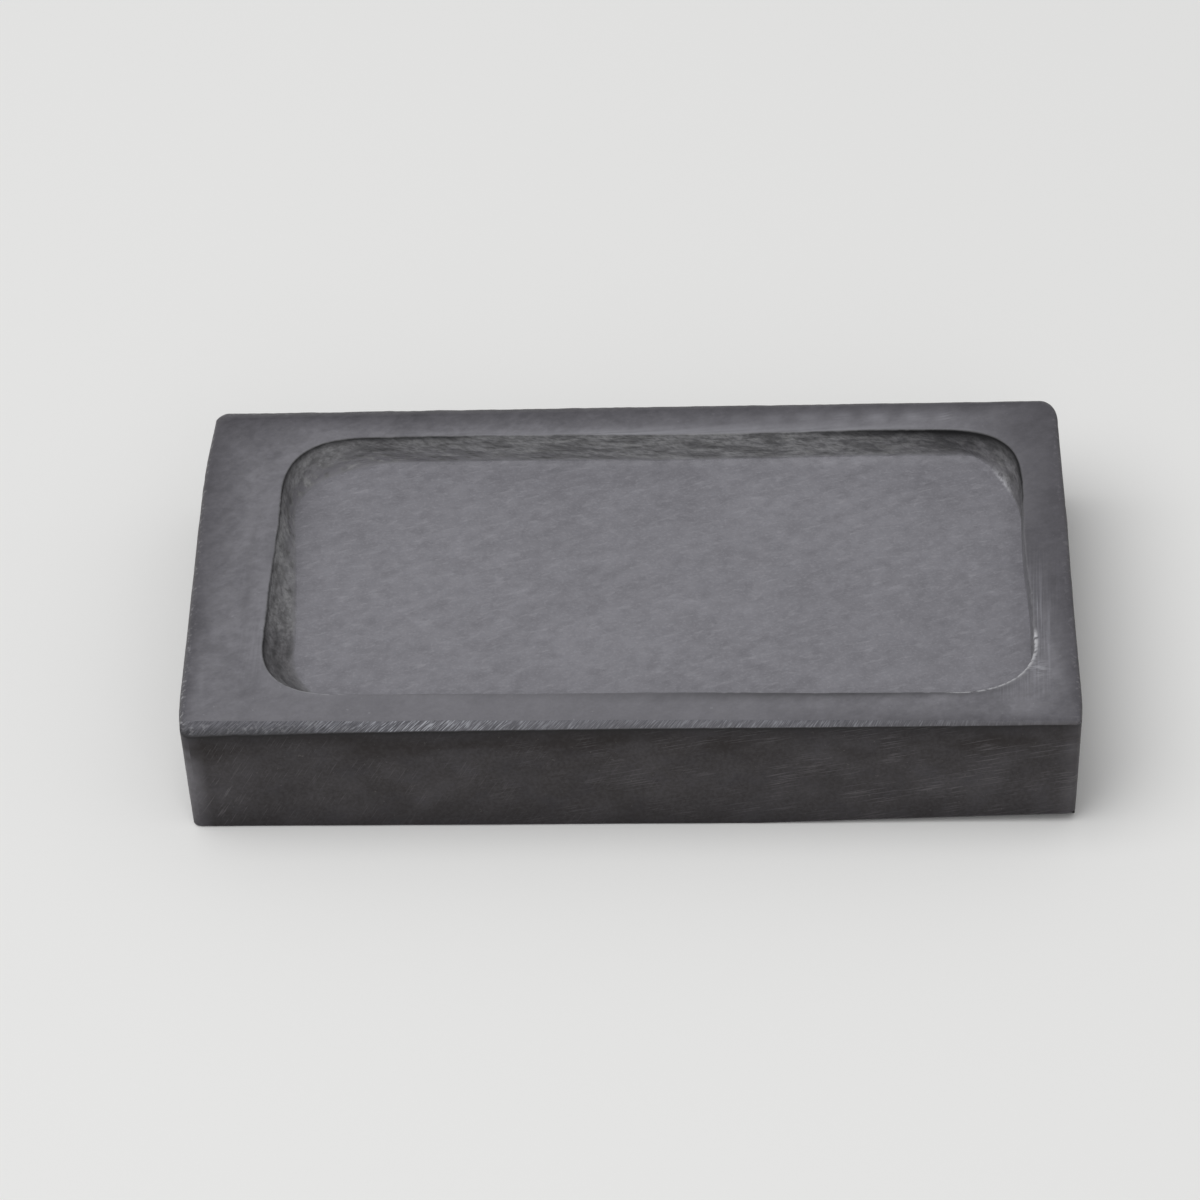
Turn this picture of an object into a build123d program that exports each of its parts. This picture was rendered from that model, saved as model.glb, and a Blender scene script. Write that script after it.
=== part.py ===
from build123d import *
import os

# Ink stone: one block of slate with a shallow grinding basin cut into its top.
# Millimetres. +X runs along the block, +Y away from its front, +Z up.
# The origin is the middle of the foot.

# Block
block_length = 125.0
block_depth = 72.0
block_height = 18.5
left_end_lean = 1.2         # each end leans in by this much at the foot
right_end_lean = 0.6
right_end_taper = 0.4       # the right end also runs in by this much at the back
back_skew = 1.1             # the back face stands this much further in at the left

# Upright corners of the block
back_left_flat_length = 5.0
back_left_flat_width = 1.4
back_right_round = 3.0
front_left_round = 1.2
front_right_round = 1.2

# Worn and filed arrises of the block
arris_round = 0.8
foot_bevel = 0.3
front_flat_width_left = 1.6     # flat filed along the front of the top face
front_flat_width_right = 0.6
front_flat_drop = 1.5
back_flat_width_left = 2.6      # flat worn along the back of the top face
back_flat_width_right = 1.2
back_flat_drop = 1.1
toe_flat_length = 46.0          # flat under the front face, at its right end
toe_flat_width = 1.6
toe_flat_rise = 1.6

# Rim left standing round the basin, at each of its corners
rim_left_back = 12.0
rim_left_front = 10.9
rim_right_back = 6.45
rim_right_front = 5.75
rim_back_left = 8.4
rim_back_right = 7.45
rim_front_left = 7.2
rim_front_right = 6.7

# Basin
basin_depth = 4.6
mouth_round_back_left = 10.5
mouth_round_back_right = 10.5
mouth_round_front_left = 10.0
mouth_round_front_right = 12.0
floor_round_back_left = 15.5
floor_round_back_right = 11.5
floor_round_front_left = 12.5
floor_round_front_right = 13.0
wall_run_left_back = 0.9        # how far each wall leans in from mouth to floor
wall_run_left_front = 4.1
wall_run_right = 0.2
wall_run_back = 0.4
wall_run_front = 1.2
mouth_bevel = 0.3
floor_cove = 0.6

overrun = 2.0                   # how far a cutting shape stands out of the block

half_length = block_length / 2
half_depth = block_depth / 2


def block_section(height, drawn_in):
    """Plan of the block at a height, drawn in all round: a rectangle with four unlike corners."""
    below_top_share = 1 - height / block_height
    left = -half_length + left_end_lean * below_top_share + drawn_in
    right = half_length - right_end_lean * below_top_share - drawn_in
    front = -half_depth + drawn_in
    back_right = half_depth - drawn_in
    back_left = back_right - back_skew
    corners = [
        (left, front),
        (right, front),
        (right - right_end_taper, back_right),
        (left + back_left_flat_width, back_left),
        (left, back_left - back_left_flat_length),
    ]
    rounds = [front_left_round, front_right_round, back_right_round, 0, 0]
    outline = make_face(FilletPolyline(*corners, radius=rounds, close=True))
    return Pos(0, 0, height) * outline


def cut_flat(body, first, second, third):
    """Plane through three points, taken anticlockwise from outside; what is outside goes."""
    first, second, third = Vector(first), Vector(second), Vector(third)
    outwards = (second - first).cross(third - first)
    flat = Plane(origin=first, x_dir=second - first, z_dir=outwards)
    return split(body, bisect_by=flat, keep=Keep.BOTTOM)


def make_block():
    """Sawn block, its top arrises rubbed round, then filed flat along three edges."""
    sections = [
        block_section(0, foot_bevel),
        block_section(foot_bevel, 0),
        block_section(block_height, 0),
    ]
    body = loft(sections, ruled=True)
    top_arrises = body.faces().sort_by(Axis.Z)[-1].edges()
    body = fillet(top_arrises, radius=arris_round)
    body = cut_flat(
        body,
        (-half_length, -half_depth, block_height - front_flat_drop),
        (half_length, -half_depth + front_flat_width_right, block_height),
        (-half_length, -half_depth + front_flat_width_left, block_height),
    )
    body = cut_flat(
        body,
        (-half_length, half_depth - back_skew, block_height - back_flat_drop),
        (-half_length, half_depth - back_skew - back_flat_width_left, block_height),
        (half_length, half_depth - back_flat_width_right, block_height),
    )
    return cut_flat(
        body,
        (half_length - toe_flat_length, -half_depth, 0),
        (half_length, -half_depth + toe_flat_width, 0),
        (half_length, -half_depth, toe_flat_rise),
    )


def basin_section(below_mouth, grown):
    """Outline of the basin at a depth below its mouth, grown outwards by a distance."""
    share = below_mouth / basin_depth       # 0 at the mouth, 1 at the floor
    left_back = -half_length + rim_left_back + wall_run_left_back * share - grown
    left_front = -half_length + rim_left_front + wall_run_left_front * share - grown
    right_back = half_length - rim_right_back - wall_run_right * share + grown
    right_front = half_length - rim_right_front - wall_run_right * share + grown
    back_left = half_depth - rim_back_left - wall_run_back * share + grown
    back_right = half_depth - rim_back_right - wall_run_back * share + grown
    front_left = -half_depth + rim_front_left + wall_run_front * share - grown
    front_right = -half_depth + rim_front_right + wall_run_front * share - grown
    corners = [
        (left_front, front_left),
        (right_front, front_right),
        (right_back, back_right),
        (left_back, back_left),
    ]
    rounds = [
        mouth_round_front_left * (1 - share) + floor_round_front_left * share,
        mouth_round_front_right * (1 - share) + floor_round_front_right * share,
        mouth_round_back_right * (1 - share) + floor_round_back_right * share,
        mouth_round_back_left * (1 - share) + floor_round_back_left * share,
    ]
    outline = make_face(FilletPolyline(*corners, radius=rounds, close=True))
    return Pos(0, 0, block_height - below_mouth) * outline


def make_basin():
    """Space cut out of the block, stacked from the coved floor up past the bevelled mouth."""
    sections = [
        basin_section(basin_depth, -floor_cove),
        basin_section(basin_depth - floor_cove, 0),
        basin_section(mouth_bevel, 0),
        basin_section(0, mouth_bevel),
        basin_section(-overrun, mouth_bevel + overrun),
    ]
    return loft(sections, ruled=True)


ink_stone = make_block() - make_basin()

os.makedirs("parts", exist_ok=True)
export_step(ink_stone, "parts/ink_stone.step")
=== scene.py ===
import math

import bpy
import numpy as np
from mathutils import Matrix, Vector


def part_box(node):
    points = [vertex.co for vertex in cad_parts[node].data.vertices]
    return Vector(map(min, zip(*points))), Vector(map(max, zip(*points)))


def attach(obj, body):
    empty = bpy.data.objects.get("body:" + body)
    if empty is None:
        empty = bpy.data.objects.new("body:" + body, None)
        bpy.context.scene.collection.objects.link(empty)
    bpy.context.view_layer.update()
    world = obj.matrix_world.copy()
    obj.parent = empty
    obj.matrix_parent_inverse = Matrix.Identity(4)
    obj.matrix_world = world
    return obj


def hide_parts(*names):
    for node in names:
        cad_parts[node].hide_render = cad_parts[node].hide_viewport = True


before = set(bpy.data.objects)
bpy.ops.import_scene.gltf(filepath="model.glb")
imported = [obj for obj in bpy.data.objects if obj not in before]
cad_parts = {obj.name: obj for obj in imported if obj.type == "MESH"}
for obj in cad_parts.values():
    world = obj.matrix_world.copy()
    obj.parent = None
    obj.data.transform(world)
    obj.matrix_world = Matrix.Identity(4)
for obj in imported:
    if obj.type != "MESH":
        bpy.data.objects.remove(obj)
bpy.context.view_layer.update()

# Ink stone
# One block of slate, sawn nearly square and rubbed flat on grit, its arrises filed by hand.
# The basin was cut down with a chisel, its walls left tooled and its floor ground smooth.
MM = 0.001
block_low, block_high = (np.array(corner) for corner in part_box("ink_stone"))
top = block_high[2]
spare = 0.03 * MM               # keeps the worn skin inside the block's own box
left_x, right_x = block_low[0] + spare, block_high[0] - spare
front_y, back_y = block_low[1] + spare, block_high[1] - spare
left_end_lean = 1.2 * MM        # each end leans in by this much at the foot
right_end_lean = 0.6 * MM
right_end_taper = 0.4 * MM      # the ends also run in by this much at the back
left_end_taper = 0.15 * MM
back_skew = 1.1 * MM            # the back face stands this much further in at the left

# Points on each loop of the skin; the basin's floor takes every second one
long_side_points, short_side_points, corner_points = 360, 200, 40
ring = 2 * (long_side_points + short_side_points) + 4 * corner_points
quarter_circle = math.sqrt(0.5)
inwards = np.array([(1, 1), (-1, 1), (-1, -1), (1, -1)])    # from each corner into the block


def plan_curve(corners, reach_in, reach_out, fullness):
    """Closed plan curve through four rounded corners, anticlockwise from the front left.

    A side is the straight line between two corners, cut short by their reaches. A corner is the
    conic ((1-t)^2 A + 2w t(1-t) P + t^2 B) / ((1-t)^2 + 2w t(1-t) + t^2) from A on one side to B
    on the next, where P is the corner and w its fullness: 0.71 is a quarter circle, and less is
    flatter. All curves have as many points on each side and corner, so any two match.
    """
    pieces = []
    sides = np.roll(corners, -1, axis=0) - corners
    along = sides / np.linalg.norm(sides, axis=1, keepdims=True)
    for side, count in enumerate((long_side_points, short_side_points) * 2):
        bend = (side + 1) % 4
        start = corners[side] + reach_out[side] * along[side]
        end = corners[bend] - reach_in[bend] * along[side]
        t = np.arange(count)[:, None] / count
        pieces.append(start + t * (end - start))
        after = corners[bend] + reach_out[bend] * along[bend]
        t = np.arange(corner_points)[:, None] / corner_points
        pull = 2 * fullness[bend] * t * (1 - t)
        blend = (1 - t) ** 2 * end + pull * corners[bend] + t ** 2 * after
        pieces.append(blend / ((1 - t) ** 2 + pull + t ** 2))
    return np.concatenate(pieces)


def pushed(plan, pushes):
    """A plan curve with hand-cut departures from straight: each row x, y, dx, dy, width moves
    the points around (x, y) by (dx, dy) exp(-(distance / width)^2)."""
    rows = np.array(pushes) * MM
    for place, move, width in zip(rows[:, :2], rows[:, 2:4], rows[:, 4]):
        distance = np.linalg.norm(plan - place, axis=1, keepdims=True)
        plan = plan + move * np.exp(-(distance / width) ** 2)
    return plan


def around(front=(0, 0), right=(0, 0), back=(0, 0), left=(0, 0)):
    """A size with evenly spaced values along each side, anticlockwise, run straight from one to
    the next, and through each corner from one side's last value to the next side's first. It is
    nought along a side that isn't given."""
    sides = [front, right, back, left]
    pieces = []
    for side, count in enumerate((long_side_points, short_side_points) * 2):
        values = sides[side]
        places = np.linspace(0, len(values) - 1, count, endpoint=False)
        pieces.append(np.interp(places, np.arange(len(values)), values))
        following = sides[(side + 1) % 4][0]
        pieces.append(np.linspace(values[-1], following, corner_points, endpoint=False))
    return np.concatenate(pieces)


def waves(places, length, seed, count=12):
    """Smooth wander between about -1 and 1: a sum of sine waves of about one wavelength, each
    with its own direction and start, over the places' coordinates."""
    draw = np.random.default_rng(seed)
    directions = draw.normal(size=(count, places.shape[-1]))
    directions /= np.linalg.norm(directions, axis=1, keepdims=True)
    stretch = draw.uniform(0.6, 1.6, count) * 2 * math.pi / length
    phase = draw.uniform(0, 2 * math.pi, count)
    return np.sin(places @ (directions * stretch[:, None]).T + phase).sum(-1) / math.sqrt(count)


def inward(plan):
    """Unit vectors square to a closed plan curve, into the block: its tangent turned left."""
    tangent = np.roll(plan, -1, axis=0) - np.roll(plan, 1, axis=0)
    tangent /= np.linalg.norm(tangent, axis=1, keepdims=True)
    return np.column_stack([-tangent[:, 1], tangent[:, 0]])


def level(plan, height):
    """A plan curve raised to a height, which may differ from point to point."""
    return np.column_stack([plan, np.broadcast_to(height, len(plan))])


def band(lower, upper, steps, across=None, rise=None):
    """Loops from one closed curve to the next, the first left out. Their plan places move by the
    share across(t) and their heights by the share rise(t), both t itself unless given."""
    t = (np.arange(steps) + 1)[:, None] / steps
    a = (t if across is None else across(t))[:, :, None]
    b = (t if rise is None else rise(t))[:, :, None]
    plan = lower[None, :, :2] * (1 - a) + upper[None, :, :2] * a
    height = lower[None, :, 2:] * (1 - b) + upper[None, :, 2:] * b
    return np.concatenate([plan, height], axis=2)


# Outline of the block's sides at the top and at the foot, which the ends lean in to
head_corners = np.array([
    (left_x, front_y),
    (right_x, front_y),
    (right_x - right_end_taper, back_y),
    (left_x + left_end_taper, back_y - back_skew),
])
end_lean = np.array([left_end_lean, right_end_lean, right_end_lean, left_end_lean])
foot_corners = head_corners + inwards * np.column_stack([end_lean, np.zeros(4)])
block_reach_in = np.array([1.2, 1.0, 4.6, 2.0]) * MM
block_reach_out = np.array([1.2, 1.0, 2.6, 2.0]) * MM
block_fullness = np.array([quarter_circle, quarter_circle, 0.85, 0.5])
hand_sawn = [(-62.3, 35.2, 0.9, 0, 9.5), (62.3, 10, 0.12, 0, 9)]
rubbed_corners = [(-62.4, -36, 0.45, 0, 3.5), (62.4, -36, -0.3, 0, 3)]
side_head_plan = plan_curve(head_corners, block_reach_in, block_reach_out, block_fullness)
side_head_plan = pushed(side_head_plan, hand_sawn + rubbed_corners)
side_foot_plan = plan_curve(foot_corners, block_reach_in, block_reach_out, block_fullness)
side_foot_plan = pushed(side_foot_plan, hand_sawn)

# What the arrises leave of the top: filed flat in front, worn at the back, rubbed at the ends
top_flat_ends = np.array([1.1, 0.6, 0.7, 0.9]) * MM       # arris widths on the end faces' side
top_flat_sides = np.array([1.5, 0.6, 1.2, 2.6]) * MM      # and on the front and back faces' side
top_corners = head_corners + inwards * np.column_stack([top_flat_ends, top_flat_sides])
top_reach_in = np.array([1.0, 0.8, 3.6, 2.4]) * MM
top_reach_out = np.array([1.0, 0.8, 2.4, 2.4]) * MM
top_plan = plan_curve(top_corners, top_reach_in, top_reach_out, block_fullness)
top_plan = pushed(top_plan, hand_sawn + [(5, -35, 0, 0.18, 28)])
arris_drop = around(
    front=(1.65, 1.15, 0.88, 0.72, 0.64, 0.58, 0.48, 0.4),
    right=(0.5, 0.6, 0.7),
    back=(0.8, 0.9, 1.1),
    left=(1.0, 1.1, 1.2),
) * MM
arris_flatness = around(        # 0 is a quarter round, 1 a filed flat
    front=(1.0, 1.0, 1.0, 0.8),
    right=(0.1, 0.1),
    back=(0.5, 0.6),
    left=(0.2, 0.3),
)

# What they leave of the foot: its edge eased all round, and filed at the right end of the front
foot_flat = 0.25 * MM
toe_length, toe_width, toe_band = 45 * MM, 1.6 * MM, 1.5 * MM
toe_run = np.interp(side_foot_plan[:, 0], [right_x - toe_length, right_x], [0, toe_width])
toe_run = toe_run * (side_foot_plan[:, 1] < front_y + toe_band)
foot_flat_corners = foot_corners + inwards * foot_flat
foot_plan = plan_curve(foot_flat_corners, block_reach_in, block_reach_out, block_fullness)
foot_plan = pushed(foot_plan, hand_sawn)
foot_plan[:, 1] += toe_run
foot_rise = foot_flat + toe_run

# Mouth and floor of the basin. Corners: front left, front right, back right, back left
rim_ends = np.array([10.6, 5.45, 6.15, 11.7]) * MM
rim_sides = np.array([6.9, 6.4, 7.15, 8.1]) * MM
mouth_reach_in = np.array([11.0, 11.9, 12.0, 12.5]) * MM
mouth_reach_out = np.array([11.4, 11.5, 12.0, 13.0]) * MM
mouth_fullness = np.array([0.95, 0.8, 1.2, 1.1])
full_corners = np.array([
    (block_low[0], block_low[1]),
    (block_high[0], block_low[1]),
    (block_high[0], block_high[1]),
    (block_low[0], block_high[1]),
])
mouth_corners = full_corners + inwards * np.column_stack([rim_ends, rim_sides])
hand_cut = [
    (8, 28.4, 0, -0.3, 14),
    (34, 28.7, 0, 0.15, 10),
    (56.3, 1.5, -0.45, 0, 11),
    (-51.2, 8, 0.2, 0, 8),
    (5, -29.6, 0, 0.15, 12),
]
lip_plan = plan_curve(mouth_corners, mouth_reach_in, mouth_reach_out, mouth_fullness)
lip_plan = pushed(lip_plan, hand_cut)
mouth_bevel = around(
    front=(0.25, 0.25, 0.25, 0.25, 0.35),
    right=(0.6, 0.3, 0.25, 0.25, 0.25),
    back=(0.25, 0.25),
    left=(0.25, 0.25),
) * MM
mouth_plan = lip_plan + inward(lip_plan) * mouth_bevel[:, None]

basin_depth = 4.6 * MM
wall_run_ends = np.array([4.4, 0.3, 0.25, 1.2]) * MM
wall_run_sides = np.array([1.5, 1.5, 0.75, 0.5]) * MM
floor_reach_in = np.array([13.0, 12.4, 16.0, 19.0]) * MM
floor_reach_out = np.array([13.5, 11.6, 7.0, 13.0]) * MM
floor_fullness = np.array([0.8, 0.8, 0.4, 0.85])
floor_corners = mouth_corners + inwards * np.column_stack([wall_run_ends, wall_run_sides])
floor_hand_cut = [(-48.5, -8, 0.75, 0, 14), (56, 8, -0.1, 0, 9), (56.5, -19, -0.55, 0, 7)]
floor_plan = plan_curve(floor_corners, floor_reach_in, floor_reach_out, floor_fullness)
floor_plan = pushed(floor_plan, hand_cut + floor_hand_cut)
wall_hollow = around(           # 0 is a straight wall, 1 a quarter round cove at its foot
    front=(0.4, 0.4),
    right=(0.15, 0.15),
    back=(0.2, 0.2, 0.2, 0.5),
    left=(0.5, 0.35, 0.35),
)

# Loops of the whole skin, from the foot up the sides, in over the rim and down into the basin
flat = arris_flatness[None, :]
hollow = wall_hollow[None, :]
quarter = math.pi / 2


def arris_across(t):
    """Share inwards over an arris: a quarter round, 1 - cos, or a filed flat, t itself."""
    return flat * t + (1 - flat) * (1 - np.cos(quarter * t))


def arris_rise(t):
    """Share upwards over an arris: a quarter round, sin, or a filed flat, t itself."""
    return flat * t + (1 - flat) * np.sin(quarter * t)


def wall_across(t):
    """Share inwards down a basin wall: straight, mixed with a quarter round cove at its foot."""
    return (1 - hollow) * t + hollow * (1 - np.cos(quarter * t))


def wall_fall(t):
    """Share downwards on a basin wall: straight, mixed with a quarter round cove at its foot."""
    return (1 - hollow) * t + hollow * np.sin(quarter * t)


def closer_to_arris(t):
    """Share of the way up a side, its loops drawn together towards the arris: 1 - (1 - t)^2."""
    return 1 - (1 - t) ** 2


def closer_to_edges(t):
    """Share of the way over the rim, its loops drawn together at both edges: (1 - cos pi t) / 2."""
    return (1 - np.cos(math.pi * t)) / 2


def lip_across(t):
    """Share inwards over the basin's lip: a quarter round, sin."""
    return np.sin(quarter * t)


def lip_fall(t):
    """Share downwards over the basin's lip: a quarter round, 1 - cos."""
    return 1 - np.cos(quarter * t)


# Small wander of the hand-worked edges, a long one and a short one along each
edge_places = np.column_stack([side_head_plan, np.zeros(ring)]) / MM
arris_wander = 1 + 0.03 * waves(edge_places, 9, seed=3) + 0.03 * waves(edge_places, 1.8, seed=4)
top_wander = 0.04 * waves(edge_places, 9, seed=5) + 0.02 * waves(edge_places, 2.2, seed=6)
top_plan += inward(side_head_plan) * top_wander[:, None] * MM
lip_wander = 0.025 * waves(edge_places, 6, seed=7) + 0.015 * waves(edge_places, 1.5, seed=8)
lip_shift = inward(mouth_plan) * (lip_wander[:, None] * MM)
mouth_plan, lip_plan = mouth_plan + lip_shift, lip_plan + lip_shift

foot_loop = level(foot_plan, 0)
side_foot = level(side_foot_plan, foot_rise)
side_head = level(side_head_plan, top - arris_drop * arris_wander)
top_edge = level(top_plan, top)
lip_edge = level(lip_plan, top)
mouth_edge = level(mouth_plan, top - mouth_bevel)
floor_edge = level(floor_plan, top - basin_depth)
stretches = {
    "foot": foot_loop[None],
    "foot_arris": band(foot_loop, side_foot, 3),
    "side": band(side_foot, side_head, 12, closer_to_arris, closer_to_arris),
    "arris": band(side_head, top_edge, 8, arris_across, arris_rise),
    "rim": band(top_edge, lip_edge, 14, closer_to_edges, closer_to_edges),
    "lip": band(lip_edge, mouth_edge, 4, lip_across, lip_fall),
    "wall": band(mouth_edge, floor_edge, 14, wall_across, wall_fall),
}
loops = np.concatenate(list(stretches.values()))
loop_count = len(loops)
last_loop = dict(zip(stretches, np.cumsum([len(part) for part in stretches.values()]) - 1))


def share(**runs):
    """A finish's share at every point of the loops: over each named stretch it runs evenly from
    one value to the other, and on the others it is nought."""
    columns = [
        np.linspace(*runs.get(name, (0, 0)), len(part) + 1)[1:]
        for name, part in stretches.items()
    ]
    return np.repeat(np.concatenate(columns)[:, None], ring, axis=1)


def coons(loop):
    """Floor grid inside a closed loop: a Coons patch, which is the front-to-back blend plus the
    left-to-right blend less the blend of the four corners, each in equal steps."""
    nx, ny = (long_side_points + corner_points) // 2, (short_side_points + corner_points) // 2
    order = np.roll(np.arange(len(loop)), corner_points // 4)
    front, right = order[:nx + 1], order[nx:nx + ny + 1]
    back = order[nx + ny:2 * nx + ny + 1][::-1]
    left = np.append(order[2 * nx + ny:], order[0])[::-1]
    u = np.linspace(0, 1, nx + 1)[None, :, None]
    v = np.linspace(0, 1, ny + 1)[:, None, None]
    across = (1 - v) * loop[front][None] + v * loop[back][None]
    along = (1 - u) * loop[left][:, None] + u * loop[right][:, None]
    low = (1 - u) * loop[front[0]] + u * loop[front[-1]]
    high = (1 - u) * loop[back[0]] + u * loop[back[-1]]
    points = across + along - (1 - v) * low - v * high
    return points, front, right, back, left


# The floor's own loop has half the points: it lies a little inside the wall's last one
floor_seam = 0.4 * MM
floor_loop = (floor_edge + level(inward(floor_plan) * floor_seam, 0))[::2]
half_ring = ring // 2
floor_points, floor_front, floor_right, floor_back, floor_left = coons(floor_loop)
floor_inner = floor_points[1:-1, 1:-1].reshape(-1, 3)
vertices = np.concatenate([loops.reshape(-1, 3), floor_loop, floor_inner, [[0, 0, 0]]])

# Hand-rubbed faces are never quite flat: the sides wander inwards and the top and floor downwards
side_hollow_depth, rim_hollow_depth = 0.07 * MM, 0.045 * MM
dish_depth, floor_wander_depth = 0.15 * MM, 0.03 * MM
dish_half_length, dish_half_width = 50 * MM, 27 * MM
side_share = share(foot_arris=(0, 1), side=(1, 1), arris=(1, 0))
side_hollow = 0.5 + 0.35 * waves(loops / MM, 30, seed=11) + 0.15 * waves(loops / MM, 8, seed=12)
side_hollow = np.clip(side_hollow, 0, 1.2) * side_hollow_depth * side_share
loops[:, :, :2] += inward(side_head_plan)[None] * side_hollow[:, :, None]
floor_share = np.clip(share(wall=(-5, 1)), 0, 1)
wall_share = share(lip=(0, 1), wall=(1, 1)) * (1 - floor_share)
rim_share = share(arris=(0, 1), rim=(1, 1), lip=(1, 0))
vertices[:loops.size // 3] = loops.reshape(-1, 3)

# The same shares at every vertex: on the loops, and on the floor's own points and the foot's middle
rest = np.zeros(len(vertices) - loop_count * ring)
floor_marks = np.append(rest[:-1] + 1, 0)
on_floor = np.concatenate([floor_share.ravel(), floor_marks])
on_wall = np.concatenate([wall_share.ravel(), rest])
on_rim = np.concatenate([rim_share.ravel(), rest])
on_side = np.concatenate([side_share.ravel(), rest])
rim_sink = rim_hollow_depth * (1 + waves(vertices[:, :2] / MM, 26, seed=13)) * on_rim
dish = np.clip(1 - (vertices[:, 0] / dish_half_length) ** 2, 0, 1)
dish = dish * np.clip(1 - (vertices[:, 1] / dish_half_width) ** 2, 0, 1)
floor_wander = waves(vertices[:, :2] / MM, 14, seed=14)
floor_sink = (dish_depth * dish + floor_wander_depth * floor_wander) * on_floor
vertices[:, 2] -= np.clip(rim_sink, 0, None) + floor_sink


def arc_length(plan):
    """Length along a closed plan curve to each of its points, and once round."""
    return np.append(0, np.cumsum(np.linalg.norm(np.roll(plan, -1, axis=0) - plan, axis=1)))


# Lengths along the loops, round the sides and round the mouth, and up and over across them
inner_share = share(rim=(0, 1), lip=(1, 1), wall=(1, 1))[:, :1]
side_length, mouth_length = arc_length(side_head_plan), arc_length(mouth_plan)
round_length = side_length * (1 - inner_share) + mouth_length * inner_share
steps_across = np.diff(loops, axis=0, prepend=loops[:1])
across_length = np.cumsum(np.linalg.norm(steps_across, axis=2), axis=0)


def skin_places(run, rise):
    """The places on the loops, measured in runs round the stone and rises across the loops."""
    return np.stack([round_length[:, :-1] / run, across_length / rise], axis=-1)


# The chisel left shallow flutes in the basin's walls, narrow ones and broad ones
narrow_flutes = skin_places(5 * MM, 1.6 * MM)
broad_share, flute_depth = 0.3, 0.03 * MM
flutes = waves(narrow_flutes, 1, seed=15) + waves(narrow_flutes * broad_share, 1, seed=16)
flutes = flute_depth * flutes * wall_share
loop_vertices = vertices[:loop_count * ring].reshape(loop_count, ring, 3)
loop_vertices[:, :, :2] += inward(mouth_plan)[None] * flutes[:, :, None]

fresh_depth = 0.05 * MM         # a flake this deep shows fresh stone


def scoop(points, fresh, centre, cut, length, radius, bite, sink):
    """One flake out of an arris: every point inside a ball, drawn out along the arris, moves to
    the ball's far side. The ball's middle stands radius - bite outside the arris, against the
    inward direction cut, which leans down by sink. Freshly broken points are marked."""
    direction = np.array([cut[0], cut[1], -sink])
    direction = direction / np.linalg.norm(direction)
    arris = np.array([-cut[1], cut[0], 0.0])
    away = points - (np.array(centre) - direction * (radius - bite))
    away = away - arris * (away @ arris)[:, None] * (1 - radius / length)
    along = away @ direction
    room = radius ** 2 - (away ** 2).sum(1) + along ** 2
    push = np.where(room > 0, np.sqrt(np.clip(room, 0, None)) - along, 0)
    push = np.where(push < 2 * radius, np.clip(push, 0, None), 0)
    points += direction * push[:, None]
    fresh[:] = np.maximum(fresh, np.clip(push / fresh_depth, 0, 1))


# Flakes out of the outer arris and out of the mouth's: how many, from which line and which way,
# radius in mm, how many times as long at most, depth of the bite in mm, and sink
fresh = np.zeros(len(vertices))
draw = np.random.default_rng(21)
for flakes, line, cut, radii, longest, bites, sink in [
    (30, side_head, inward(side_head_plan), (0.4, 0.9), 2.5, (0.05, 0.14), 0.6),
    (12, lip_edge, -inward(mouth_plan), (0.3, 0.6), 3, (0.03, 0.08), 1.2),
]:
    for index in draw.integers(0, ring, flakes):
        radius = draw.uniform(*radii) * MM
        length = radius * draw.uniform(1, longest)
        bite = draw.uniform(*bites) * MM
        scoop(vertices, fresh, line[index], cut[index], length, radius, bite, sink)
vertices[:, 2] = np.clip(vertices[:, 2], 0, top)

# Faces: bands of the loops, the floor's grid with its half as many points, and the foot's fan
row = np.arange(loop_count - 1)[:, None] * ring
here = row + np.arange(ring)[None, :]
beside = row + np.roll(np.arange(ring), -1)[None, :]
skin_faces = np.stack([here, beside, beside + ring, here + ring], axis=-1).reshape(-1, 4)
last = (loop_count - 1) * ring
floor_first = loop_count * ring
every = np.arange(half_ring)
following = np.roll(every, -1)
seam_triangles = np.stack([last + 2 * every, last + 2 * every + 1, floor_first + every], axis=-1)
seam_quads = np.stack([
    last + 2 * every + 1,
    last + 2 * following,
    floor_first + following,
    floor_first + every,
], axis=-1)
grid = np.zeros(floor_points.shape[:2], int)
floor_numbers = floor_first + half_ring + np.arange(len(floor_inner))
grid[1:-1, 1:-1] = floor_numbers.reshape(grid[1:-1, 1:-1].shape)
grid[0], grid[-1] = floor_first + floor_front, floor_first + floor_back
grid[:, 0], grid[:, -1] = floor_first + floor_left, floor_first + floor_right
floor_faces = np.stack([
    grid[:-1, :-1],
    grid[:-1, 1:],
    grid[1:, 1:],
    grid[1:, :-1],
], axis=-1).reshape(-1, 4)
middle = len(vertices) - 1
foot_faces = np.stack([
    np.full(ring, middle),
    np.roll(np.arange(ring), -1),
    np.arange(ring),
], axis=-1)
face_groups = [skin_faces, seam_triangles, seam_quads, floor_faces, foot_faces]

sharpest_smooth_turn = math.radians(32)
stone_mesh = bpy.data.meshes.new("ink_stone_skin")
all_faces = [face for group in face_groups for face in group.tolist()]
stone_mesh.from_pydata(vertices.tolist(), [], all_faces)
stone_mesh.shade_smooth()
stone_mesh.set_sharp_from_angle(angle=sharpest_smooth_turn)
stone = bpy.data.objects.new("ink_stone_skin", stone_mesh)
bpy.context.scene.collection.objects.link(stone)

# Shares of the finishes that run along the edges: how strong each is along the sides from the
# front left, and how far it reaches
from_arris = across_length - across_length[last_loop["side"]]
from_lip = across_length - across_length[last_loop["rim"]]


def fading(distance, reach):
    """Share that falls off from an edge on both sides: exp(-(distance / reach)^2)."""
    return np.exp(-(distance / reach) ** 2)


def spot(centre, reach):
    """Share that falls off all round one place, given by two or three coordinates in mm."""
    away = loops[:, :, :len(centre)] - np.array(centre) * MM
    return fading(np.linalg.norm(away, axis=2), reach)


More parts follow.
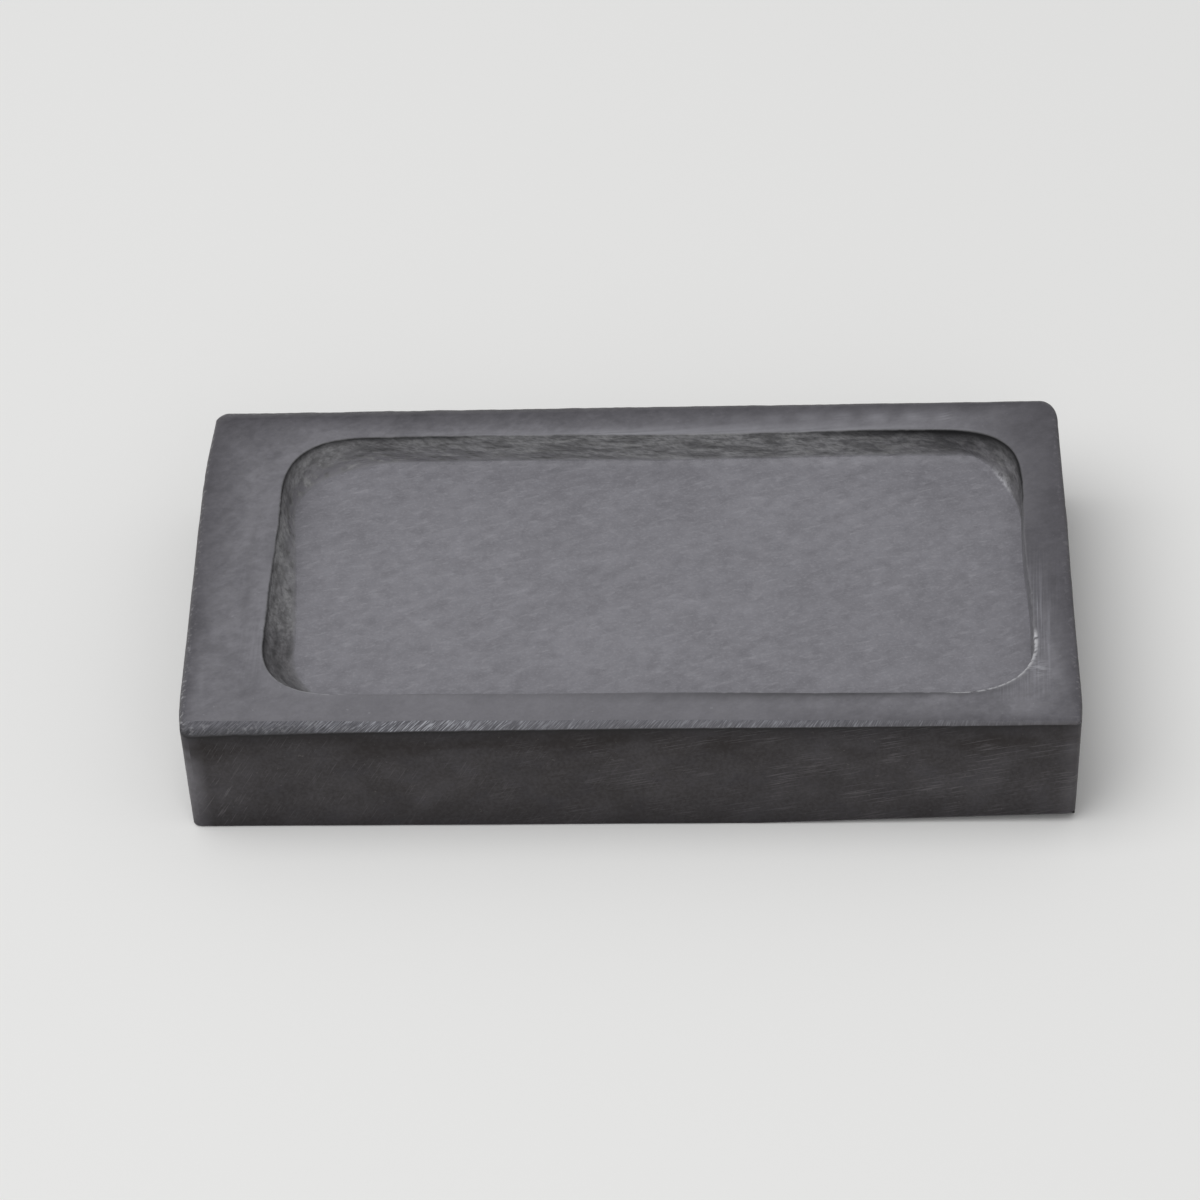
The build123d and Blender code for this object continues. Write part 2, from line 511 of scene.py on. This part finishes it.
# File strokes along the front arris, and painted glints on them
filed = share(arris=(1, 1)) * around(
    front=(0.8, 1, 1, 0.75, 0.65, 0.65, 0.6, 0.3, 0), left=(0, 0, 0.4))
painted_glints = filed * around(front=(0.2, 0.3, 0.9, 0.5, 0.3, 0.5, 0.4, 0.5, 0.3), left=(0, 0.3))

# Painted shade, with some darkening by hands: the rim from its outer arris inwards, each side's
# upper and lower edge, and stretches of the basin's walls
shade_and_handling_reach = around(
    front=(4, 4, 5, 7), right=(9, 14, 30), back=(11, 8, 10, 20), left=(14, 6, 4.5)) * MM
shade_and_handling_most = around(
    front=(0.4, 0, 0.3, 0.9), right=(0.9, 0.95, 0.85), back=(1.1, 1, 1.2), left=(1.1, 1, 1.1))
painted_shade_and_handling = np.clip(1 - from_arris / shade_and_handling_reach, 0, 1) * rim_share * shade_and_handling_most
side_only = share(foot_arris=(0, 1), side=(1, 1))
side_top_shade = around(front=(0.8, 0.9, 0.8, 0.8), right=(0.4, 0.4), back=(0.4, 0.4), left=(0.4, 0.6))
foot_shade, side_top_shade_reach, foot_shade_reach = 0.8, 2.2 * MM, 3.6 * MM
painted_shade_and_handling += side_only * (
    side_top_shade * fading(from_arris, side_top_shade_reach)
    + foot_shade * fading(across_length, foot_shade_reach)
)
painted_shade_and_handling += wall_share * around(
    front=(0.6, 0.3),
    right=(0, 0, 0, 0.8),
    back=(0.7, 0.35, 0.2, 0.1, 0, 0, 0, 0, 0, 0.45),
    left=(0.35, 0.05, 0, 0.2, 0.5, 0.9),
)

# The rim is brighter beside the mouth: partly rubbed, partly a painted highlight
lip_highlight_reach = 2.2 * MM
lip_highlight = rim_share * fading(from_lip, lip_highlight_reach) * around(
    front=(0.2, 0, 0), back=(0.3, 0.9, 1, 0.8, 0), left=(0.2, 0.2))

# Painted shade on the walls under the lip, where their steep tops lie in shadow
under_lip_shade_reach = around(
    front=(0.4, 0.4),
    right=(0.3, 0.3, 0.3, 0.3, 0.3, 0.3, 1.0, 1.9),
    back=(1.9, 1.2, 0.4, 0.35, 0.3, 0.4, 1.1),
    left=(0.9, 0.5, 0.6, 1.1),
) * MM
under_lip_shade_reach = under_lip_shade_reach * (1 + 0.16 * waves(edge_places, 5, seed=32))
under_lip_shade_most = around(
    front=(0.3, 0.3),
    right=(0.4, 0.6, 0.4, 0.1, 0, 0, 0.8, 1.1),
    back=(1.1, 0.9, 0.45, 0.3, 0.3, 0.5, 0.9, 1),
    left=(0.95, 0.9, 0.85, 0.95),
)
painted_shade_and_dark_lines = wall_share * under_lip_shade_most * fading(from_lip, under_lip_shade_reach)

# And in lines: painted shade beside the mouth with a broader one behind it, painted shade under
# the front arris, darker along the foot of its filed flat, and a scribed line on the left rim
lip_shade_line = rim_share * around(front=(0, 0.2, 0.3, 0.5, 0.9, 1, 0.6), right=(0.3, 0))
lip_shade_line_reach, shade_from_lip, shade_reach = 0.7 * MM, 0.6 * MM, 1.4 * MM
painted_shade_and_dark_lines += lip_shade_line * (
    0.3 * fading(from_lip, lip_shade_line_reach)
    + 0.34 * fading(from_lip + shade_from_lip, shade_reach)
)
arris_shade_line = side_only * around(
    front=(1, 1, 1, 1, 1, 0.8, 0.5), right=(0.2, 0.2), back=(0.2, 0.2), left=(0.3, 0.6))
arris_shade_line_reach = 0.4 * MM
painted_shade_and_dark_lines += 0.7 * arris_shade_line * fading(from_arris, arris_shade_line_reach)
filed_foot = np.clip(share(arris=(1, -0.5)), 0, 1)
painted_shade_and_dark_lines += 0.8 * filed_foot * around(front=(0.9, 0.8, 0, 0, 0, 0, 0, 0, 0), left=(0, 0, 0.4))
scribed_line = rim_share * around(left=(0, 0.6, 1, 1, 0))
scribed_from_lip, scribed_reach = 3.2 * MM, 0.3 * MM
painted_shade_and_dark_lines += 0.12 * scribed_line * fading(from_lip + scribed_from_lip, scribed_reach)

# Stone chipped bright off the mouth's front right corner, with a painted highlight on it, and
# crumbs low on the wall's back right
chip_reach = 0.7 * mouth_bevel
chips_and_painted_highlight = fading(from_lip - chip_reach, chip_reach) * around(
    front=(0.3,) + (0,) * 50 + (0.8,), right=(1.1, 0.05) + (0,) * 14)
chips_and_painted_highlight *= np.clip(1 + 0.25 * waves(edge_places, 2.5, seed=31), 0.6, 1.4)
low_on_wall = np.clip(share(wall=(-3, 1.5)), 0, 2)
chips_and_painted_highlight += 0.34 * low_on_wall * spot((53.5, 22.0), 2.6 * MM)

# Crumbled outer arrises
crumbled_line = 0.9 * MM
crumbly = share(arris=(1, 1), rim=(1, 1)) * fading(from_arris - crumbled_line, crumbled_line)
crumbly = crumbly * around(
    front=(0.6, 0, 0, 0, 0.1),
    right=(0.4, 0.2, 0.3),
    back=(0.1, 0, 0.1, 0.4),
    left=(1, 0.6, 0.5, 1),
)

# Slips of the chisel and two rubbed streaks on the right rim, and the rim's darker mottle
ticks = rim_share * spot((56.4, -24.5), 1.5 * MM)
streaked = rim_share * around(
    front=(0, 0, 0, 0, 0, 0.1), right=(0.8, 1, 0.5, 0, 0, 0), left=(0, 0.2))
near_streak = fading(from_lip + 1.2 * MM, 1.5 * MM)
far_streak = fading(from_lip + 4.4 * MM, 0.8 * MM)
streaked *= near_streak + 0.6 * far_streak
mottled = rim_share * around(
    front=(0.5, 0.3, 0.5, 1), right=(0.8, 0.6), back=(0.6, 1, 1.7), left=(1, 0.9, 0.9))

# Scratches on the sides, in clusters: steep ones, with a gouged place at the front left, and
# shallow ones. The corners are worn paler, and a brown painted shade lies under the arris
clusters = np.clip(0.25 + 1.1 * waves(skin_places(14 * MM, 7 * MM), 1, seed=23), 0, 1)
steep = side_only * clusters * around(
    front=(0.6, 0.3, 0.1, 0), right=(0.3, 0.3), back=(0.3, 0.3), left=(0.3, 0.6))
steep += 0.9 * side_only * spot((-56.8, -36, 5.2), 3.2 * MM)
shallow = side_only * clusters * around(
    front=(0, 0.3, 0.9, 1.3), right=(0.8, 0.6), back=(0.6, 0.6), left=(0.4, 0.1))
worn_corner = side_only * around(
    front=(0.9,) + (0,) * 60 + (0.3,), right=(0.3,) + (0,) * 40, left=(0,) * 40 + (0.7,))
under_arris_shade_row = 2.5 * MM
under_arris = side_only * fading(from_arris + under_arris_shade_row, under_arris_shade_row)

# Tool chatter on the back rim, growing from its middle to the right
chatter_pitch, chatter_row, chatter_reach = 5.1 * MM, back_y - 4.2 * MM, 1.1 * MM
chatter_full_at, chatter_end = 30 * MM, 46 * MM
chatter = rim_share * fading(loops[:, :, 1] - chatter_row, chatter_reach)
chatter = chatter * np.clip(loops[:, :, 0] / chatter_full_at, 0, 1)
chatter *= np.cos(math.pi * loops[:, :, 0] / chatter_pitch) ** 2 * (loops[:, :, 0] < chatter_end)

# Basin: how strongly the walls are tooled, the slate's layers in them, and dust at their foot and
# along the back of the floor, both paled further by painted light over the shade there
wall_tooling = around(
    front=(0.6, 0.6), right=(0.3, 0.2, 0.2, 0.2, 0.3, 1), back=(1, 1), left=(1, 1))
tooled = wall_share * wall_tooling
layered = wall_share * around(
    front=(0.3, 0.3), right=(0, 0, 0.5), back=(0.8, 1, 1, 1, 0.5, 0), left=(0, 0.1, 0.2))
wall_foot = wall_share * share(wall=(-0.4, 1.4)) * around(
    front=(0.3, 0.3), right=(0.3, 0.5), back=(0.4, 0.2, 0.3, 1), left=(1, 0.7, 0.2, 0.1))
pale_band_row, pale_band_reach, pale_band_from = 27.6 * MM, 1.5 * MM, -38 * MM
dust_and_painted_light = on_floor * fading(vertices[:, 1] - pale_band_row, pale_band_reach) * (vertices[:, 0] > pale_band_from)
on_wall[:loops.size // 3] *= np.tile(wall_tooling, loop_count)

shares = {
    "floor": on_floor, "wall": on_wall, "rim": on_rim, "side": on_side,
    "fresh": fresh, "dust_and_painted_light": dust_and_painted_light,
}
for name, values in {
    "filed": filed, "painted_shade_and_handling": painted_shade_and_handling, "rubbed_highlight": lip_highlight, "painted_shade_and_dark_lines": painted_shade_and_dark_lines, "chips_and_painted_highlight": chips_and_painted_highlight,
    "streaked": streaked, "steep": steep, "shallow": shallow, "chatter": chatter, "tooled": tooled,
    "worn_corner": worn_corner, "crumbly": crumbly, "ticks": ticks, "mottled": mottled,
    "under_arris": under_arris, "layered": layered, "wall_foot": wall_foot, "painted_glints": painted_glints,
}.items():
    shares[name] = np.append(np.clip(values, 0, 1).ravel(), rest)
for name, values in shares.items():
    stone_mesh.attributes.new(name, "FLOAT", "POINT").data.foreach_set("value", values)

# A map that runs round the stone and across its bands
u, u_beside = round_length[:, :-1], round_length[:, 1:]
v = from_arris * (1 - inner_share) + from_lip * inner_share
v_beside = np.roll(v, -1, axis=1)
skin_map = np.stack([
    np.stack([u[:-1], u_beside[:-1], u_beside[1:], u[1:]], axis=-1),
    np.stack([v[:-1], v_beside[:-1], v_beside[1:], v[1:]], axis=-1),
], axis=-1).reshape(-1, 2)
flat_map = [vertices[group.ravel(), :2] for group in face_groups[1:]]
round_map = stone_mesh.uv_layers.new(name="around")
round_map.data.foreach_set("uv", np.concatenate([skin_map, *flat_map]).ravel())


def linear(colour):
    """sRGB hex to linear light: ((c + 0.055) / 1.055) ^ 2.4, or c / 12.92 below 0.04045."""
    c = np.array([int(colour[i:i + 2], 16) for i in (1, 3, 5)]) / 255
    return [*np.where(c > 0.04045, ((c + 0.055) / 1.055) ** 2.4, c / 12.92), 1.0]


def add(tree, kind, inputs=None, **settings):
    """Adds one node, sets its properties, and sets or links its sockets."""
    made = tree.nodes.new("ShaderNode" + kind)
    for name, value in settings.items():
        setattr(made, name, value)
    for socket, value in (inputs or {}).items():
        if isinstance(value, bpy.types.NodeSocket):
            tree.links.new(value, made.inputs[socket])
        else:
            made.inputs[socket].default_value = value
    return made


# Slate: dark grey with a faint blue cast. The outside is rubbed fine, darkened by handling and by
# painted shade, the basin's floor is ground matt and paler, and its walls keep the chisel's crushed
# pale marks, with painted light making them paler still.
slate = bpy.data.materials.new("rubbed_slate")
slate.use_nodes = True
tree = slate.node_tree
tree.nodes.clear()
place = add(tree, "TexCoord").outputs["Object"]
round_about = add(tree, "UVMap", uv_map="around").outputs[0]
shares = {name: add(tree, "Attribute", attribute_name=name).outputs["Fac"] for name in shares}
shares["all"] = 1.0

# Colour and roughness of each finish, laid over the ones before it
colour, roughness = linear("#757479"), 0.46
for name, tone, rough in [
    # The sides' dark tone is partly the stone's own and partly painted shade, for faces turned from
    # the light
    ("side", "#444142", 0.5),
    ("floor", "#818086", 0.62),
    # The floor along the back wall is paler: dust, and painted light over the wall's shade
    ("dust_and_painted_light", "#9b9aa0", 0.65),
    # The walls' pale tone is partly painted light, lifting walls that stand in their own shade
    ("wall", "#a6a6a7", 0.68),
    ("filed", "#6f6f76", 0.4),
    ("worn_corner", "#8a898e", 0.45),
    ("fresh", "#8f8f94", 0.6),
]:
    colour = add(tree, "Mix", {
        0: shares[name],
        6: colour,
        7: linear(tone),
    }, data_type="RGBA").outputs[2]
    roughness = add(tree, "Mix", {0: shares[name], 2: roughness, 3: rough}).outputs[0]

# Marks: finish, coordinates, size in mm along and across and turn in degrees, finer octaves, the
# noise values between which the mark sets in, its colour, how much of it shows, its height in mm
marks = [
    # The slate's bed: dark clouds, paler ones, and its grain of about 0.05 mm, drawn ten times as
    # coarse because it is too fine to show
    ("all", place, (28, 20, 20), 20, 2, 0.40, 0.66, "#48474c", 0.18, 0),
    ("all", place, (8, 6, 6), 35, 2, 0.45, 0.68, "#8b8a90", 0.12, 0),
    ("all", place, (0.5, 0.5, 0.5), 0, 2, 0.40, 0.64, "#8d8c92", 0.10, 0.005),
    # Rim: pale specks, dark blotches, dark mottle and pale mottle
    ("rim", place, (0.8, 0.8, 0.8), 0, 1, 0.76, 0.80, "#a8a8ac", 0.20, 0),
    ("mottled", place, (5, 3.5, 4), 60, 3, 0.44, 0.66, "#4b4a4f", 0.32, 0),
    ("mottled", place, (1.6, 1.2, 1), 30, 3, 0.44, 0.70, "#4f4e53", 0.28, -0.003),
    ("mottled", place, (1.2, 0.9, 1), 30, 3, 0.46, 0.74, "#929198", 0.24, 0.003),
    # Floor: cloudy patches, finer clouds, three sizes of ridges from the grinding, and dusty grit
    ("floor", place, (7, 5, 1), 30, 3, 0.42, 0.66, "#6c6b70", 0.30, 0),
    ("floor", place, (2.6, 1.9, 1), 40, 3, 0.42, 0.66, "#66656a", 0.36, -0.012),
    ("floor", place, (3.4, 2.3, 1), 34, 1, 0.32, 0.70, "#919096", 0.16, 0.120),
    ("floor", place, (1.5, 1.2, 1), 20, 1, 0.40, 0.70, "#8f8e94", 0.14, 0.045),
    ("floor", place, (2.4, 0.9, 1), 22, 2, 0.56, 0.70, "#a3a2a8", 0.20, 0.045),
    ("floor", place, (0.45, 0.4, 1), 0, 1, 0.52, 0.70, "#a3a2a8", 0.16, 0.004),
    # Walls: facets of the chisel, crushed mottle, dark and pale layers, rough grain, a foot paled
    # by dust and painted light
    ("tooled", round_about, (6, 2.6, 1), 0, 2, 0.46, 0.62, "#3e3e3e", 0.50, -0.030),
    ("tooled", round_about, (1.6, 1.1, 1), 20, 3, 0.44, 0.64, "#484849", 0.42, -0.020),
    ("layered", round_about, (4, 0.8, 1), 2, 1, 0.46, 0.64, "#47474a", 0.28, -0.010),
    ("layered", round_about, (4, 0.8, 1), 2, 1, 0.56, 0.68, "#c2c2c0", 0.20, 0.006),
    ("tooled", round_about, (0.7, 0.6, 1), 0, 3, 0.46, 0.62, "#4c4c4c", 0.34, -0.015),
    ("wall_foot", round_about, (1.8, 1.4, 1), 0, 3, 0.42, 0.54, "#848388", 1.0, 0),
    # Sides: dark clouds, paler and bluer ones, a brown painted shade under the arris, rubbed grain,
    # pale grains, scratches
    ("side", round_about, (9, 5, 1), 30, 3, 0.42, 0.62, "#2a2728", 0.28, 0),
    ("side", round_about, (4, 3, 1), 0, 3, 0.50, 0.66, "#4c4b52", 0.20, 0),
    ("under_arris", round_about, (12, 5, 1), 0, 2, 0.44, 0.60, "#282220", 0.70, 0),
    ("side", place, (0.7, 0.7, 0.7), 0, 3, 0.44, 0.66, "#5a585a", 0.24, 0),
    ("side", place, (0.6, 0.6, 0.6), 0, 2, 0.70, 0.77, "#8a8886", 0.30, 0),
    ("steep", round_about, (4, 0.2, 1), 58, 1, 0.60, 0.68, "#a09ea2", 0.34, -0.010),
    ("shallow", round_about, (5, 0.2, 1), 11, 1, 0.56, 0.66, "#a09ea2", 0.30, -0.010),
    # Front arris: file strokes and painted glints on their edges
    ("filed", round_about, (1.8, 0.17, 1), 56, 1, 0.42, 0.60, "#29292e", 0.60, -0.025),
    ("painted_glints", round_about, (1.8, 0.17, 1), 56, 1, 0.52, 0.64, "#d9dce4", 0.60, 0.010),
    # Rim: rubbing streaks, slips of the chisel, tool chatter, rubbed mouth and its painted
    # highlight, crumbled arrises
    ("streaked", place, (0.3, 14, 1), -2, 2, 0.46, 0.60, "#a2a2aa", 0.50, 0),
    ("ticks", place, (1.4, 0.3, 1), 6, 1, 0.46, 0.58, "#aeaeb4", 0.60, -0.01),
    ("chatter", round_about, (3, 2, 1), 0, 1, 0.10, 0.50, "#9a9aa0", 0.50, 0),
    ("rubbed_highlight", round_about, (12, 3, 1), 0, 1, 0.20, 0.60, "#9a9aa0", 0.60, 0),
    ("crumbly", place, (0.7, 0.7, 0.7), 0, 2, 0.56, 0.66, "#c4c4c8", 0.65, -0.01),
]
height = 0.0
for row_number, mark_row in enumerate(marks):
    name, coordinates, size, turn, octaves, low, high, tone, amount, rise = mark_row
    laid = add(tree, "Mapping", {       # each row has a place of its own in the noise
        "Vector": coordinates,
        "Location": (0.137 * row_number, 0.071 * row_number, 0.053 * row_number),
        "Rotation": (0, 0, math.radians(turn)),
        "Scale": [length * MM for length in size],
    }, vector_type="TEXTURE")
    pattern = add(tree, "TexNoise", {
        "Vector": laid.outputs[0],
        "Scale": 1.0,
        "Detail": octaves,
        "Roughness": 0.55,
    })
    shown = add(tree, "MapRange", {
        "Value": pattern.outputs[0],
        "From Min": low,
        "From Max": high,
    }, clamp=True)
    mark = add(tree, "Math", {0: shown.outputs[0], 1: shares[name]}, operation="MULTIPLY")
    strength = add(tree, "Math", {0: mark.outputs[0], 1: amount}, operation="MULTIPLY")
    colour = add(tree, "Mix", {
        0: strength.outputs[0],
        6: colour,
        7: linear(tone),
    }, data_type="RGBA").outputs[2]
    if rise:
        height = add(tree, "Math", {
            0: mark.outputs[0],
            1: rise * MM,
            2: height,
        }, operation="MULTIPLY_ADD").outputs[0]

# Over them all: painted shade on the edges, partly darkening by hands, painted shade and dark
# lines about the lip, and stone chipped off it with a painted highlight
colour = add(tree, "Mix", {
    0: shares["painted_shade_and_handling"],
    6: colour,
    7: linear("#b0aeb1"),
}, data_type="RGBA", blend_type="MULTIPLY").outputs[2]
colour = add(tree, "Mix", {
    0: shares["painted_shade_and_dark_lines"],
    6: colour,
    7: linear("#1a1a1b"),
}, data_type="RGBA").outputs[2]
crumb_size = 0.7 * MM
crumbs = add(tree, "TexNoise", {"Vector": place, "Scale": 1 / crumb_size, "Detail": 2.0})
crumbled = add(tree, "MapRange", {
    "Value": crumbs.outputs[0],
    "From Min": 0.32,
    "From Max": 0.50,
}, clamp=True)
broken = add(tree, "Math", {
    0: crumbled.outputs[0],
    1: shares["chips_and_painted_highlight"],
}, operation="MULTIPLY")
colour = add(tree, "Mix", {
    0: broken.outputs[0],
    6: colour,
    7: linear("#d2d2d6"),
}, data_type="RGBA").outputs[2]

# Rubbed and dusty stone has less gloss than its IOR alone would give
relief = add(tree, "Bump", {"Height": height, "Strength": 1.0, "Distance": 1.0})
surface = add(tree, "BsdfPrincipled", {
    "Base Color": colour,
    "Roughness": roughness,
    "IOR": 1.5,
    "Specular IOR Level": 0.25,
    "Normal": relief.outputs[0],
})
add(tree, "OutputMaterial", {"Surface": surface.outputs[0]})
stone_mesh.materials.append(slate)

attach(stone, "root")
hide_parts("ink_stone")

# Floor
# A plain pale sheet that the stone stands on. It is near white to the camera and in reflections,
# and darker to the light that it sends back, so the stone's sides stay as dark as over a table.
sheet_reach = 3.0
sheet_corners = [
    (-sheet_reach, -sheet_reach, 0),
    (sheet_reach, -sheet_reach, 0),
    (sheet_reach, sheet_reach, 0),
    (-sheet_reach, sheet_reach, 0),
]
floor_mesh = bpy.data.meshes.new("floor")
floor_mesh.from_pydata(sheet_corners, [], [(0, 1, 2, 3)])
floor = bpy.data.objects.new("floor", floor_mesh)
bpy.context.scene.collection.objects.link(floor)
pale = bpy.data.materials.new("pale_sheet")
pale.use_nodes = True
tree = pale.node_tree
tree.nodes.clear()
seen = add(tree, "LightPath").outputs
seen_or_mirrored = add(tree, "Math", {
    0: seen["Is Camera Ray"],
    1: seen["Is Glossy Ray"],
}, operation="MAXIMUM")
bright = add(tree, "Math", {
    0: seen_or_mirrored.outputs[0],
    1: seen["Is Transmission Ray"],
}, operation="MAXIMUM")
sheet_colour = add(tree, "Mix", {
    0: bright.outputs[0],
    6: linear("#6a625c"),
    7: linear("#efefee"),
}, data_type="RGBA")
sheet = add(tree, "BsdfDiffuse", {"Color": sheet_colour.outputs[2]})
add(tree, "OutputMaterial", {"Surface": sheet.outputs[0]})
floor_mesh.materials.append(pale)

# Lights
# Two soft studio boxes: the large main one high above, to the left and a little in front, and a
# small weak one low in front. An even white room fills their shadows.
room_light = 0.42


def soft_box(name, place, size, power):
    """Square area lamp at a place in metres, turned to face the stone."""
    lamp = bpy.data.lights.new(name, "AREA")
    lamp.energy = power
    lamp.size = size
    made = bpy.data.objects.new(name, lamp)
    turn = Vector(place).to_track_quat("Z", "Y").to_matrix().to_4x4()
    made.matrix_world = Matrix.Translation(place) @ turn
    bpy.context.scene.collection.objects.link(made)


soft_box("main_box", (-0.9, -0.4, 2.0), size=2.4, power=33)
soft_box("front_box", (0.2, -1.0, 0.6), size=0.6, power=1.0)
world = bpy.data.worlds.new("room")
world.use_nodes = True
background = world.node_tree.nodes["Background"].inputs
background["Color"].default_value = linear("#ffffff")
background["Strength"].default_value = room_light
bpy.context.scene.world = world

# Camera
# The photograph's own view, fitted to the block's edges in it.
camera_place = (0.01416, -0.60331, 0.52457)
camera_tilt, camera_yaw, camera_roll = (math.radians(a) for a in (40.417, -1.783, -1.544))
frame_pixels, focal_pixels = 1200, 5541.1
camera_data = bpy.data.cameras.new("camera")
camera_data.sensor_width = 36
camera_data.lens = camera_data.sensor_width * focal_pixels / frame_pixels
camera = bpy.data.objects.new("camera", camera_data)
camera.matrix_world = (
    Matrix.Translation(camera_place)
    @ Matrix.Rotation(-camera_yaw, 4, "Z")
    @ Matrix.Rotation(math.pi / 2 - camera_tilt, 4, "X")
    @ Matrix.Rotation(camera_roll, 4, "Z")
)
bpy.context.scene.collection.objects.link(camera)
bpy.context.scene.camera = camera
bpy.context.scene.view_settings.view_transform = "Standard"
